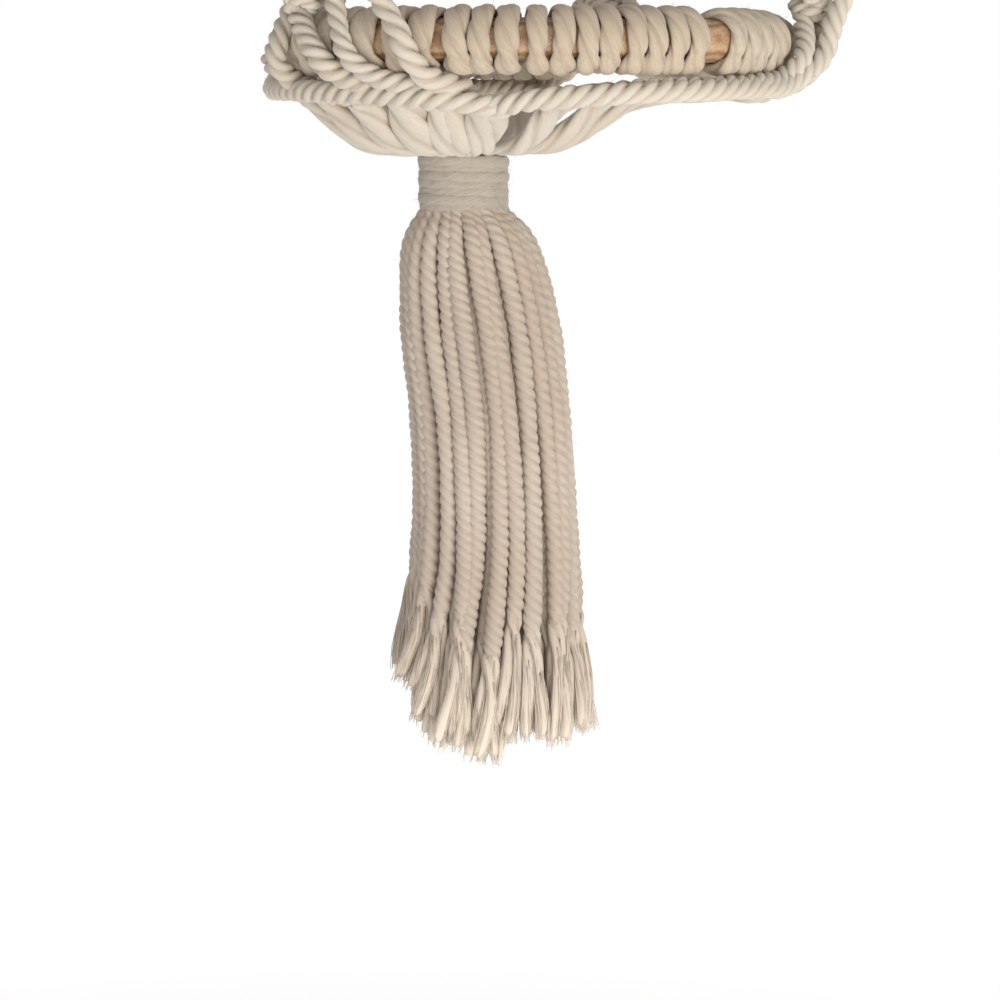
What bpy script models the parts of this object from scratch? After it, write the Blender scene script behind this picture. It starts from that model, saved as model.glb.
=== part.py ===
"""A macrame plant hanger of cotton cord with a wooden ring at its base.

Sixteen strands hang from a bound loop in four arms, meet in a knotted net round the pot, pass under
a wrapped wooden ring and are gathered under it into a tassel. The origin is the point of the loop
that bears on a hook. X is to the right, Y to the back and Z up; depths are measured down from the
top of the loop.
"""

import math
import random

import bmesh
import bpy
from mathutils import Matrix, Vector

# Driving sizes, in metres.
LENGTH = 0.744
CORD = 0.0032
GAP = 0.0003
# A strand that leaves a knot aslant starts this far from it.
END_GAP = GAP + 0.0007
WELD = 0.000001

LOOP_BUNDLE = 0.0096
LOOP_HOLE_WIDTH = 0.020
LOOP_HOLE_HEIGHT = 0.034
TOP_WRAP_TOP = 0.046
TOP_WRAP_BOTTOM = 0.075
TOP_WRAP_TURNS = 9
BOUND_RADIUS = 0.0067
TOP_WRAP_RADIUS = 0.0094

SINNET_TOP = 0.160
SINNET_BOTTOM = 0.222
SINNET_RIDGES = 8
RIM_TOP = 0.446
RIM_BOTTOM = 0.472
RIM_RIDGES = 4
MIDDLE_TOP = 0.520
MIDDLE_BOTTOM = 0.540
MIDDLE_RIDGES = 3
BASE_KNOT_LENGTH = 0.020
BASE_RIDGES = 3
KNOT_WIDTH = 0.0122
KNOT_FLATNESS = 0.66

RING_DEPTH = 0.6175
RING_OUTSIDE = 0.0889
RING_TUBE = 0.007
RING_RADIUS = (RING_OUTSIDE - RING_TUBE) / 2
SLEEVE_INSIDE = RING_TUBE / 2 + GAP + 0.0002
SLEEVE_VALLEY = 0.0048
SLEEVE_RIDGE = 0.00565
RING_CLEARANCE = SLEEVE_RIDGE + GAP + CORD / 2 + 0.0005
BARE_CLEARANCE = RING_TUBE / 2 + GAP + CORD / 2 + 0.0003

GATHER_X = -0.0122
GATHER_TOP = 0.6369
GATHER_BOTTOM = 0.6466
GATHER_TURNS = 6
GATHER_RADIUS = 0.0081
GATHER_INSIDE = 0.0064
GATHER_SPLIT = 0.6415

TASSEL_OUTER = 15
TASSEL_INNER = 9
TASSEL_SIDE_TIP = 0.731

# How far the net stands from the vertical axis at each depth, in millimetres.
NET_PROFILE = (
    # depth, radius
    (75.0, 3.75),
    (160.0, 12.0),
    (222.0, 17.5),
    (446.0, 36.5),
    (472.0, 39.0),
    (520.0, 45.0),
    (540.0, 47.5),
    (590.0, 49.0),
)

# The arms, with the azimuth of each at the bound loop and at the ring in degrees, and how far from
# the axis and how deep the knot at its foot ends, in millimetres.
ARMS = (
    # name, azimuth at the top, azimuth at the ring, radius of the foot, depth of the foot
    ("right", -15.0, -8.0, 48.6, 611.0),
    ("back", 75.0, 72.0, 48.0, 609.0),
    ("left", 160.0, 150.0, 44.5, 610.0),
    ("front", 248.0, 217.0, 47.5, 609.0),
)

# The strands under each arm: how far above the knot's foot each leaves it and how far it stands
# out beside the ring, in millimetres, its azimuth beside the ring and its azimuth where it turns in
# under the ring, in degrees.
CRADLE = (
    # arm, leaves, outward, beside, under
    (0, 11.0, 5.4, -13.0, -96.0),
    (0, 0.0, 1.6, -17.0, -62.0),
    (0, 0.0, 0.0, -6.0, -34.0),
    (0, 0.0, 0.0, 2.0, -8.0),
    (1, 0.0, 0.0, 60.0, 22.0),
    (1, 0.0, 0.0, 68.0, 54.0),
    (1, 0.0, 0.0, 76.0, 82.0),
    (1, 0.0, 0.0, 84.0, 110.0),
    (2, 0.0, 0.0, 140.0, 136.0),
    (2, 0.0, 0.0, 148.0, 163.0),
    (2, 0.0, 0.0, 157.0, 190.0),
    (2, 0.0, 0.0, 166.0, 257.0),
    (3, 0.0, 0.0, 206.0, 212.0),
    (3, 0.0, 0.0, 219.0, 226.0),
    (3, 0.0, 0.0, 229.5, 245.0),
    (3, 12.0, 0.4, 243.5, 252.0),
)

# The stretches of the ring that a cord is wound round: first and last azimuth, and turns.
WINDINGS = (
    # name, start, end, turns
    ("ring_wrap_front", 243.0, 308.2, 12),
    ("ring_wrap_right", 315.2, 342.0, 5),
    ("ring_wrap_back_right", 353.0, 420.0, 13),
    ("ring_wrap_back", 84.0, 132.0, 9),
    ("ring_wrap_left", 192.0, 234.4, 8),
)

# The tassel's middle line and its half width at each depth, in millimetres.
TASSEL_PROFILE = (
    # depth, middle in x, radius of the outer strands
    (646.9, -12.2, 4.2),
    (651.0, -11.4, 9.8),
    (656.0, -10.9, 11.5),
    (666.0, -9.7, 12.7),
    (680.0, -7.5, 12.9),
    (700.0, -6.4, 13.4),
    (715.0, -6.8, 14.2),
    (730.0, -8.2, 15.8),
    (746.0, -8.4, 16.8),
)

# Where the four strands of an arm leave the bound bundle: beside and outward of the arm's middle.
START_PLACES = ((-1, 0), (0, -1), (0, 1), (1, 0))

COTTON = (0.79, 0.71, 0.59, 1.0)
COTTON_SHADED = (0.70, 0.62, 0.50, 1.0)
COTTON_PALE = (0.83, 0.77, 0.67, 1.0)
WOOD = (0.58, 0.34, 0.17, 1.0)


def start_model():
    """Clears the scene and gives the hanger's own collection."""
    for item in list(bpy.data.objects):
        bpy.data.objects.remove(item, do_unlink=True)
    hanger = bpy.data.collections.new("macrame_plant_hanger")
    bpy.context.scene.collection.children.link(hanger)
    return hanger


def material(name, colour, roughness):
    made = bpy.data.materials.new(name)
    made.use_nodes = True
    shader = made.node_tree.nodes["Principled BSDF"]
    shader.inputs["Base Color"].default_value = colour
    shader.inputs["Roughness"].default_value = roughness
    shader.inputs["Metallic"].default_value = 0.0
    return made


def between(table, depth, column):
    """Reads a column of a table in millimetres at a depth in metres, along straight lines."""
    wanted = depth * 1000.0
    for upper, lower in zip(table, table[1:]):
        if wanted <= lower[0]:
            share = max(0.0, (wanted - upper[0]) / (lower[0] - upper[0]))
            return (upper[column] + (lower[column] - upper[column]) * share) / 1000.0
    return table[-1][column] / 1000.0


def place(radius, azimuth, depth, side=0.0):
    """A point at a radius and azimuth in degrees round the hanger's axis, shifted to its side."""
    angle = math.radians(azimuth)
    outward = Vector((math.cos(angle), math.sin(angle), 0.0))
    across = Vector((-math.sin(angle), math.cos(angle), 0.0))
    return outward * radius + across * side + Vector((0.0, 0.0, LOOP_BUNDLE - depth))


def arm_azimuth(arm, depth):
    """An arm turns slowly from its place at the bound loop to its place at the ring."""
    share = (depth - TOP_WRAP_BOTTOM) / (RING_DEPTH - TOP_WRAP_BOTTOM)
    return ARMS[arm][1] + (ARMS[arm][2] - ARMS[arm][1]) * share


def arm_point(arm, depth, side=0.0, out=0.0):
    return place(between(NET_PROFILE, depth, 1) + out, arm_azimuth(arm, depth), depth, side)


def middle_azimuth(arm):
    """The azimuth of the knot between an arm and the next one."""
    following = (arm + 1) % len(ARMS)
    first = arm_azimuth(arm, MIDDLE_TOP)
    second = arm_azimuth(following, MIDDLE_TOP)
    if second < first:
        second += 360.0
    return (first + second) / 2


def foot_point(arm, depth, side=0.0):
    """A point of the knot that ends an arm just above the ring."""
    return place(ARMS[arm][3] / 1000.0, ARMS[arm][2], depth, side)


def smooth(points, steps):
    """A Catmull-Rom curve through the points, with some steps in each span."""
    padded = [points[0] * 2 - points[1], *points, points[-1] * 2 - points[-2]]
    made = []
    for before, start, end, after in zip(padded, padded[1:], padded[2:], padded[3:]):
        for step in range(steps):
            t = step / steps
            made.append(
                0.5
                * (
                    start * 2
                    + (end - before) * t
                    + (before * 2 - start * 5 + end * 4 - after) * t**2
                    + (start * 3 - before - end * 3 + after) * t**3
                )
            )
    made.append(points[-1].copy())
    return made


def even(points, spacing):
    """The smooth curve through the points, cut into straight runs of about one length."""
    fine = smooth(points, 8)
    total = sum((second - first).length for first, second in zip(fine, fine[1:]))
    count = max(2, round(total / spacing))
    made = [fine[0]]
    travelled = 0.0
    for first, second in zip(fine, fine[1:]):
        travelled += (second - first).length
        if travelled >= total * len(made) / count - 1e-9 and len(made) < count:
            made.append(second)
    made.append(fine[-1])
    return made


def mesh_object(name, mesh):
    made = bpy.data.objects.new(name, mesh)
    bpy.context.scene.collection.objects.link(made)
    return made


def baked(item):
    """Turns a curve or a modified object into a plain mesh object, with its caps welded."""
    bpy.context.view_layer.update()
    seen = item.evaluated_get(bpy.context.evaluated_depsgraph_get())
    mesh = bpy.data.meshes.new_from_object(seen)
    made = mesh_object(item.name + "_mesh", mesh)
    made.matrix_world = item.matrix_world
    bpy.data.objects.remove(item, do_unlink=True)
    shape = bmesh.new()
    shape.from_mesh(mesh)
    bmesh.ops.remove_doubles(shape, verts=shape.verts, dist=WELD)
    bmesh.ops.recalc_face_normals(shape, faces=shape.faces)
    shape.to_mesh(mesh)
    shape.free()
    return made


def strand(points, radii, resolution=1):
    """A round strand along the points, with its own radius at each."""
    curve = bpy.data.curves.new("strand", "CURVE")
    curve.dimensions = "3D"
    curve.bevel_depth = 1.0
    curve.bevel_resolution = resolution
    curve.use_fill_caps = True
    spline = curve.splines.new("POLY")
    spline.points.add(len(points) - 1)
    for target, point, radius in zip(spline.points, points, radii):
        target.co = (*point, 1.0)
        target.radius = radius
    made = bpy.data.objects.new("strand", curve)
    bpy.context.scene.collection.objects.link(made)
    return baked(made)


def even_strand(points):
    return strand(points, [CORD / 2] * len(points))


def turned(profile, steps, closed=False):
    """A profile of (radius, height) rows turned round the Z axis."""
    shape = bmesh.new()
    rows = [shape.verts.new((radius, 0.0, height)) for radius, height in profile]
    for first, second in zip(rows, rows[1:]):
        shape.edges.new((first, second))
    if closed:
        shape.edges.new((rows[-1], rows[0]))
    mesh = bpy.data.meshes.new("turned")
    shape.to_mesh(mesh)
    shape.free()
    made = mesh_object("turned", mesh)
    screw = made.modifiers.new("turn", "SCREW")
    screw.steps = steps
    screw.render_steps = steps
    screw.use_merge_vertices = True
    screw.merge_threshold = 1e-6
    return baked(made)


def ridges(length, count, valley, ridge):
    """The outer side of a ridged bar from its top down, centred on the origin."""
    rows = []
    pitch = length / count
    for turn in range(count):
        top = length / 2 - turn * pitch
        rows.append((ridge, top - 0.5 * pitch))
        if turn < count - 1:
            rows.append((valley, top - pitch))
    return rows


def knot(top, bottom, count):
    """A flat knot between two points, ridged across, its broad side facing the hanger's axis."""
    along = top - bottom
    radius = KNOT_WIDTH / 2
    half = along.length / 2
    profile = [(0.0, half), (radius * 0.72, half)]
    profile += ridges(along.length, count, radius * 0.84, radius)
    profile += [(radius * 0.70, -half), (0.0, -half)]
    made = turned(profile, 8)
    up = along.normalized()
    outward = Vector((top.x + bottom.x, top.y + bottom.y, 0.0))
    outward = (outward - up * outward.dot(up)).normalized()
    across = up.cross(outward)
    turn = Matrix((across, outward, up)).transposed()
    flatten = Matrix.Diagonal((1.0, KNOT_FLATNESS, 1.0))
    made.data.transform((turn @ flatten).to_4x4())
    made.data.transform(Matrix.Translation((top + bottom) / 2))
    return made


def loft(sections):
    """A closed solid through rings of points, each with as many points as the first."""
    shape = bmesh.new()
    rows = [[shape.verts.new(point) for point in section] for section in sections]
    count = len(rows[0])
    for first, second in zip(rows, rows[1:]):
        for side in range(count):
            after = (side + 1) % count
            shape.faces.new((first[side], first[after], second[after], second[side]))
    shape.faces.new(rows[0])
    shape.faces.new(rows[-1])
    bmesh.ops.recalc_face_normals(shape, faces=shape.faces)
    mesh = bpy.data.meshes.new("loft")
    shape.to_mesh(mesh)
    shape.free()
    return mesh_object("loft", mesh)


def bundle(points, radii, lobes, twist):
    """Cords lying side by side as one lobed rope that turns as it goes."""
    sections = []
    across = Vector((0.0, 1.0, 0.0))
    for index, point in enumerate(points):
        ahead = points[min(index + 1, len(points) - 1)]
        behind = points[max(index - 1, 0)]
        along = (ahead - behind).normalized()
        beside = across.cross(along).normalized()
        section = []
        for corner in range(lobes * 2):
            angle = math.pi * corner / lobes + twist * index / len(points)
            reach = radii[index] * (1.0 if corner % 2 == 0 else 0.84)
            section.append(
                point + (across * math.cos(angle) + beside * math.sin(angle)) * reach
            )
        sections.append(section)
    return loft(sections)


def fuse(name, pieces, hanger, surface):
    """Joins overlapping pieces into one closed body and files it as a part of the hanger."""
    body = pieces[0]
    if len(pieces) > 1:
        others = bpy.data.collections.new(name + "_pieces")
        bpy.context.scene.collection.children.link(others)
        for piece in pieces[1:]:
            bpy.context.scene.collection.objects.unlink(piece)
            others.objects.link(piece)
        union = body.modifiers.new("union", "BOOLEAN")
        union.operation = "UNION"
        union.operand_type = "COLLECTION"
        union.collection = others
        union.solver = "EXACT"
        body = baked(body)
        for piece in list(others.objects):
            bpy.data.objects.remove(piece, do_unlink=True)
        bpy.data.collections.remove(others)
    return file_part(name, body, hanger, surface)


def file_part(name, body, hanger, surface):
    body.name = name
    body.data.name = name
    body.data.materials.clear()
    body.data.materials.append(surface)
    body.data.shade_smooth()
    body.data.set_sharp_from_angle(angle=math.radians(50.0))
    for owner in list(body.users_collection):
        owner.objects.unlink(body)
    hanger.objects.link(body)
    return body


def loop_pieces():
    """Eight cords laid over the hook in a loop, and their two legs pressed into one bound rope."""
    middle = LOOP_HOLE_WIDTH / 2 + LOOP_BUNDLE / 2
    top = LOOP_BUNDLE / 2
    pressed = 0.0034
    side = [
        (pressed + GAP, TOP_WRAP_TOP - 0.0015),
        (pressed + 0.0008, TOP_WRAP_TOP - 0.004),
        (middle * 0.66, TOP_WRAP_TOP - 0.014),
        (middle * 0.97, LOOP_BUNDLE + LOOP_HOLE_HEIGHT * 0.40),
        (middle * 0.90, LOOP_BUNDLE + LOOP_HOLE_HEIGHT * 0.14),
        (middle * 0.50, top + 0.0016),
    ]
    right = [Vector((x, 0.0, LOOP_BUNDLE - depth)) for x, depth in side]
    left = [Vector((-point.x, 0.0, point.z)) for point in reversed(right)]
    crown = [Vector((0.0, 0.0, LOOP_BUNDLE - top))]
    route = even(right + crown + left, 0.0085)
    full = LOOP_BUNDLE / 2
    radii = []
    for point in route:
        above = point.z - (LOOP_BUNDLE - TOP_WRAP_TOP)
        radii.append(min(full, pressed + max(0.0, above) * 0.11))
    loop = bundle(route, radii, 7, math.pi)
    bound_top = Vector((0.0, 0.0, LOOP_BUNDLE - TOP_WRAP_TOP + 0.003))
    bound_end = Vector((0.0, 0.0, LOOP_BUNDLE - TOP_WRAP_BOTTOM))
    bound_route = [bound_top, (bound_top + bound_end) / 2, bound_end]
    return [loop, bundle(bound_route, [BOUND_RADIUS] * 3, 9, 0.6)]


def binding(top, bottom, turns, inside, radius):
    """Turns of cord wound closely round a bundle, as one ridged sleeve."""
    length = bottom - top
    rows = ridges(length, turns, radius - 0.0007, radius)
    half = length / 2
    profile = [(inside, half), (radius - 0.0009, half), *rows]
    profile += [(radius - 0.0009, -half), (inside, -half)]
    made = turned(profile, 14, closed=True)
    made.data.transform(Matrix.Translation((0.0, 0.0, LOOP_BUNDLE - (top + bottom) / 2)))
    return made


def arm_pieces(arm):
    """Four strands of an arm, held by a long sinnet and ended by the knot at the pot's rim."""
    pieces = [
        knot(arm_point(arm, SINNET_TOP), arm_point(arm, SINNET_BOTTOM), SINNET_RIDGES),
        knot(arm_point(arm, RIM_TOP), arm_point(arm, RIM_BOTTOM), RIM_RIDGES),
    ]
    start = TOP_WRAP_BOTTOM + GAP
    inside = 0.004
    for index in range(4):
        column, row = START_PLACES[index]
        side = (index - 1.5) * 0.0023
        spread = (index - 1.5) * 0.0038
        upper = [
            arm_point(arm, start, column * 0.00177, row * 0.00177),
            arm_point(arm, start + 0.022, column * 0.0024, row * 0.0024),
            arm_point(arm, (start + SINNET_TOP) / 2 + 0.008, spread * 0.9, row * 0.0012),
            arm_point(arm, SINNET_TOP - 0.008, side * 1.3),
            arm_point(arm, SINNET_TOP + inside, side),
        ]
        thick = CORD / 2
        pieces.append(strand(upper, [CORD * 0.37, CORD * 0.43, thick, thick, thick]))
        lower = [
            arm_point(arm, SINNET_BOTTOM - inside, side),
            arm_point(arm, SINNET_BOTTOM + 0.010, side * 1.4),
            arm_point(arm, SINNET_BOTTOM * 0.6 + RIM_TOP * 0.4, spread, row * 0.0008),
            arm_point(arm, RIM_TOP - 0.012, side * 1.4),
            arm_point(arm, RIM_TOP + inside, side),
        ]
        pieces.append(even_strand(lower))
    return pieces


def net_pieces(arm):
    """The strands that leave two neighbouring arms, meet in a knot and part again to their feet."""
    following = (arm + 1) % len(ARMS)
    azimuth = middle_azimuth(arm)
    wide = between(NET_PROFILE, MIDDLE_TOP, 1)
    narrow = between(NET_PROFILE, MIDDLE_BOTTOM, 1)
    pieces = [
        knot(
            place(wide, azimuth, MIDDLE_TOP),
            place(narrow, azimuth, MIDDLE_BOTTOM),
            MIDDLE_RIDGES,
        )
    ]
    inside = 0.004
    for owner, sign in ((arm, 1), (following, -1)):
        for outer in (0, 1):
            away = sign * (0.0019 + outer * 0.0032)
            at_knot = -sign * (0.0013 + (1 - outer) * 0.0022)
            top = arm_point(owner, RIM_BOTTOM + END_GAP, away * 0.8)
            knot_top = place(wide, azimuth, MIDDLE_TOP + inside, at_knot)
            route = [
                top,
                arm_point(owner, RIM_BOTTOM + 0.008, away * 1.15, 0.0006),
                (top + knot_top) / 2 + Vector((top.x, top.y, 0.0)).normalized() * 0.005,
                place(wide, azimuth, MIDDLE_TOP - 0.006, at_knot * 1.5),
                knot_top,
            ]
            pieces.append(even_strand(even(route, 0.013)))
            foot_top = ARMS[owner][4] / 1000.0 - BASE_KNOT_LENGTH
            knot_end = place(narrow, azimuth, MIDDLE_BOTTOM - inside, at_knot)
            end = foot_point(owner, foot_top - END_GAP, away * 0.8)
            route = [
                knot_end,
                place(narrow, azimuth, MIDDLE_BOTTOM + 0.006, at_knot * 1.5),
                (knot_end + end) / 2 + Vector((end.x, end.y, 0.0)).normalized() * 0.006,
                foot_point(owner, foot_top - 0.008, away * 1.15),
                end,
            ]
            pieces.append(even_strand(even(route, 0.013)))
    return pieces


def from_ring(azimuth):
    """How far a strand's middle stays from the ring's at an azimuth: nearer where it is bare."""
    away = 360.0
    for _, start, end, _ in WINDINGS:
        past_start = (azimuth - start) % 360.0
        past_end = (azimuth - end) % 360.0
        if past_start <= end - start:
            return RING_CLEARANCE
        away = min(away, 360.0 - past_start, past_end)
    share = min(1.0, max(0.0, away / 5.0 - 1.0))
    return RING_CLEARANCE + (BARE_CLEARANCE - RING_CLEARANCE) * share


def ring_side(azimuth, turn, more=0.0):
    """A point beside the wrapped ring: turn 0 is outside it and 90 is straight below."""
    clearance = from_ring(azimuth) + more
    angle = math.radians(turn)
    radius = RING_RADIUS + clearance * math.cos(angle)
    return place(radius, azimuth, RING_DEPTH + clearance * math.sin(angle))


def gather_point(azimuth, distance, depth):
    """A point round the axis of the gathering, which hangs to the left of the ring's middle."""
    return place(distance, azimuth, depth) + Vector((GATHER_X, 0.0, 0.0))


def cradle_route(slot, arm, leaves, outward, beside, under, arrival):
    """A strand from its place in the knot of its arm, past the ring, under it and inwards."""
    foot = ARMS[arm][4] / 1000.0
    bulge = outward / 1000.0
    route = [
        foot_point(arm, foot - 0.007, slot * 0.0026),
        foot_point(arm, foot + 0.0005, slot * 0.0034),
    ]
    if leaves > 0.0:
        azimuth = ARMS[arm][2] + (beside - ARMS[arm][2]) * 0.6
        route = [
            foot_point(arm, foot - leaves / 1000.0, 0.0),
            place(ARMS[arm][3] / 1000.0 + bulge, azimuth, foot - 0.005),
            ring_side(beside - 1.0, -15.0, bulge * 0.75),
        ]
    sweep = under - beside
    route.append(ring_side(beside + sweep * 0.04, 14.0, bulge * 0.35))
    route.append(ring_side(beside + sweep * 0.12, 50.0, bulge * 0.1))
    steps = max(1, round(abs(sweep) / 12.0))
    sag = min(1.0, abs(sweep) / 80.0) * 0.0026
    for step in range(1, steps):
        part = step / steps
        turn = 55.0 + 21.0 * part
        route.append(ring_side(beside + sweep * (0.12 + 0.88 * part), turn, sag * part))
    route.append(ring_side(under, 92.0, sag))
    start = route[-1]
    reach, heading = gather_heading(start)
    turn = (arrival - heading + 180.0) % 360.0 - 180.0
    arrive = GATHER_TOP - GAP - CORD / 2 - 0.0001
    drop = arrive - (LOOP_BUNDLE - start.z)
    for left in (0.80, 0.62, 0.44, 0.24):
        distance = 0.0085 + (reach - 0.0085) * left
        rise = min(1.0, max(0.0, (distance - 0.012) / (0.6 * reach)))
        depth = arrive - drop * rise * rise * (3.0 - 2.0 * rise)
        route.append(gather_point(heading + turn * (1.0 - left), distance, depth))
    route.append(gather_point(arrival, 0.0060, arrive))
    return route


def gather_heading(point):
    """How far a point is from the gathering's axis, and in which direction in degrees."""
    offset = Vector((point.x - GATHER_X, point.y))
    return offset.length, math.degrees(math.atan2(offset.y, offset.x))


def cradle_pieces():
    """The knots at the arms' feet and the strands that run from them under the ring."""
    middle = (GATHER_TOP + GATHER_SPLIT) / 2
    neck = GATHER_INSIDE - GAP - 0.0001
    profile = [
        (0.0, middle - GATHER_TOP + 0.0031),
        (0.0050, middle - GATHER_TOP + 0.0029),
        (0.0084, middle - GATHER_TOP + 0.0015),
        (0.0080, middle - GATHER_TOP + GAP),
        (neck, middle - GATHER_TOP),
        (neck, middle - GATHER_SPLIT + GAP / 2),
        (0.0, middle - GATHER_SPLIT + GAP / 2),
    ]
    crown = turned(profile, 12)
    crown.data.transform(Matrix.Translation((GATHER_X, 0.0, LOOP_BUNDLE - middle)))
    pieces = [crown]
    for arm, row in enumerate(ARMS):
        foot = row[4] / 1000.0
        pieces.append(
            knot(foot_point(arm, foot - BASE_KNOT_LENGTH), foot_point(arm, foot), BASE_RIDGES)
        )
    under_heading = {}
    for row in CRADLE:
        under_heading[row] = gather_heading(ring_side(row[4], 90.0))[1] % 360.0
    order = sorted(CRADLE, key=under_heading.get)
    spacing = 360.0 / len(order)
    shift = sum(under_heading[row] - spacing * rank for rank, row in enumerate(order))
    for rank, row in enumerate(order):
        arrival = spacing * rank + shift / len(order)
        slot = CRADLE.index(row) % 4 - 1.5
        route = cradle_route(slot, *row, arrival)
        pieces.append(even_strand(route))
    return pieces


def wooden_ring():
    bpy.ops.mesh.primitive_torus_add(
        major_radius=RING_RADIUS,
        minor_radius=RING_TUBE / 2,
        major_segments=32,
        minor_segments=8,
        location=(0.0, 0.0, 0.0),
    )
    made = bpy.context.active_object
    made.data.transform(Matrix.Translation((0.0, 0.0, LOOP_BUNDLE - RING_DEPTH)))
    return made


def winding(start, end, turns):
    """Turns of cord round a stretch of the wooden ring: a straight ridged sleeve, then bent."""
    length = math.radians(end - start) * RING_RADIUS
    rows = ridges(length, turns, SLEEVE_VALLEY, SLEEVE_RIDGE)
    half = length / 2
    profile = [(SLEEVE_INSIDE, half), (SLEEVE_VALLEY, half), *rows]
    profile += [(SLEEVE_VALLEY, -half)]
    inner_rows = max(2, round((end - start) / 9.0))
    for row in range(inner_rows):
        profile.append((SLEEVE_INSIDE, -half + length * row / inner_rows))
    made = turned(profile, 8, closed=True)
    middle = math.radians((start + end) / 2)
    for vertex in made.data.vertices:
        along = middle - vertex.co.z / RING_RADIUS
        radius = RING_RADIUS + vertex.co.x
        height = vertex.co.y + LOOP_BUNDLE - RING_DEPTH
        vertex.co = (radius * math.cos(along), radius * math.sin(along), height)
    return made


def tassel_pieces():
    """A head inside the gathering and the strands that hang from it, each a little its own length."""
    draw = random.Random(7)
    head_top = Vector((GATHER_X, 0.0, LOOP_BUNDLE - GATHER_SPLIT - GAP / 2))
    head_end = Vector((GATHER_X, 0.0, LOOP_BUNDLE - GATHER_BOTTOM - 0.0012))
    pieces = [bundle([head_top, head_end], [GATHER_INSIDE - GAP - 0.0001] * 2, 10, 0.3)]
    for count, share in ((TASSEL_OUTER, 1.0), (TASSEL_INNER, 0.50)):
        for index in range(count):
            azimuth = math.tau * (index + 0.5 * (share < 1.0)) / count
            azimuth += draw.uniform(-0.05, 0.05)
            leftward = max(0.0, -math.cos(azimuth)) * share
            tip = LENGTH - (LENGTH - TASSEL_SIDE_TIP) * leftward**2.5
            tip -= draw.uniform(0.0, 0.004) if index else 0.0
            drift = draw.uniform(-0.0004, 0.0004)
            start = GATHER_BOTTOM
            depths = [start, 0.651, 0.657, 0.667, 0.687, 0.712, tip]
            points = []
            radii = []
            for step, depth in enumerate(depths):
                reach = between(TASSEL_PROFILE, depth, 2) * share
                if share < 1.0:
                    reach = max(reach, 0.0026 + 0.0004 * step)
                centre = between(TASSEL_PROFILE, depth, 1)
                points.append(
                    Vector(
                        (
                            centre + (reach + drift) * math.cos(azimuth),
                            (reach + drift) * math.sin(azimuth),
                            LOOP_BUNDLE - depth,
                        )
                    )
                )
                radii.append(min(CORD * 0.58, 0.0010 + 0.00036 * step))
            pieces.append(strand(points, radii, resolution=0))
    return pieces


def main():
    hanger = start_model()
    cotton = material("cotton_cord", COTTON, 0.92)
    shaded = material("cotton_winding", COTTON_SHADED, 0.94)
    pale = material("cotton_strands", COTTON_PALE, 0.92)
    wood = material("ring_wood", WOOD, 0.5)

    fuse("hanging_loop", loop_pieces(), hanger, cotton)
    top = binding(
        TOP_WRAP_TOP, TOP_WRAP_BOTTOM, TOP_WRAP_TURNS, BOUND_RADIUS + GAP, TOP_WRAP_RADIUS
    )
    file_part("top_wrap", top, hanger, shaded)
    for arm, row in enumerate(ARMS):
        fuse("arm_" + row[0], arm_pieces(arm), hanger, cotton)
    for arm, row in enumerate(ARMS):
        following = ARMS[(arm + 1) % len(ARMS)][0]
        fuse("net_" + row[0] + "_" + following, net_pieces(arm), hanger, cotton)
    file_part("base_ring", wooden_ring(), hanger, wood)
    for name, start, end, turns in WINDINGS:
        file_part(name, winding(start, end, turns), hanger, shaded)
    fuse("cradle", cradle_pieces(), hanger, pale)
    gather = binding(GATHER_TOP, GATHER_BOTTOM, GATHER_TURNS, GATHER_INSIDE, GATHER_RADIUS)
    gather.data.transform(Matrix.Translation((GATHER_X, 0.0, 0.0)))
    file_part("gather_wrap", gather, hanger, shaded)
    fuse("tassel", tassel_pieces(), hanger, pale)


main()
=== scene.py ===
"""The looks of a macrame plant hanger: twisted cotton cord, a wound wooden ring, the bowl of strands
gathered under it and a frayed tassel. Lengths are in metres, and tables are in millimetres and degrees.
Depths are measured down from the top of the loop."""

import math

import bpy
import numpy as np
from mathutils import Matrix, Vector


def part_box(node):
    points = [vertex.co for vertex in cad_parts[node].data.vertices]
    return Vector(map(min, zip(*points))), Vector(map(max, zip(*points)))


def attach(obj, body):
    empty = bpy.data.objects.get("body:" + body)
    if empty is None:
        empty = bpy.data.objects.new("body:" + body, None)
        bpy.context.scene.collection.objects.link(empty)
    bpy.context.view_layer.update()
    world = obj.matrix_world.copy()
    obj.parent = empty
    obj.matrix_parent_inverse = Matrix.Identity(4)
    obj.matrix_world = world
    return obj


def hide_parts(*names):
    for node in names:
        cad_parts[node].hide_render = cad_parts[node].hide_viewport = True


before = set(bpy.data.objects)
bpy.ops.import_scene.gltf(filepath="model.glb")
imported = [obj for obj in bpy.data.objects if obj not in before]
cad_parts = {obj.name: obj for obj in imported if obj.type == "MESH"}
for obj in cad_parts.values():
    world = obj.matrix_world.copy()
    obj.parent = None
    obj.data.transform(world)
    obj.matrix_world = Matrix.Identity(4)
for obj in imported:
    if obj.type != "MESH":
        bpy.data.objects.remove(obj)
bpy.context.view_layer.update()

MM = 0.001
TURN = 2.0 * math.pi
draw = np.random.default_rng(11)

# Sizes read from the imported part.
ring_low, ring_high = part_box("base_ring")
gather_low, gather_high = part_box("gather_wrap")
LOOP_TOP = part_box("hanging_loop")[1].z
RING_Z = (ring_low.z + ring_high.z) / 2
RING_TUBE = (ring_high.z - ring_low.z) / 2
RING_RADIUS = (ring_high.x - ring_low.x) / 2 - RING_TUBE
RING_DEPTH = LOOP_TOP - RING_Z
GATHER_X = (gather_low.x + gather_high.x) / 2
GATHER_TOP = LOOP_TOP - gather_high.z
GATHER_BOTTOM = LOOP_TOP - gather_low.z
GATHER_RADIUS = (gather_high.x - gather_low.x) / 2

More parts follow.
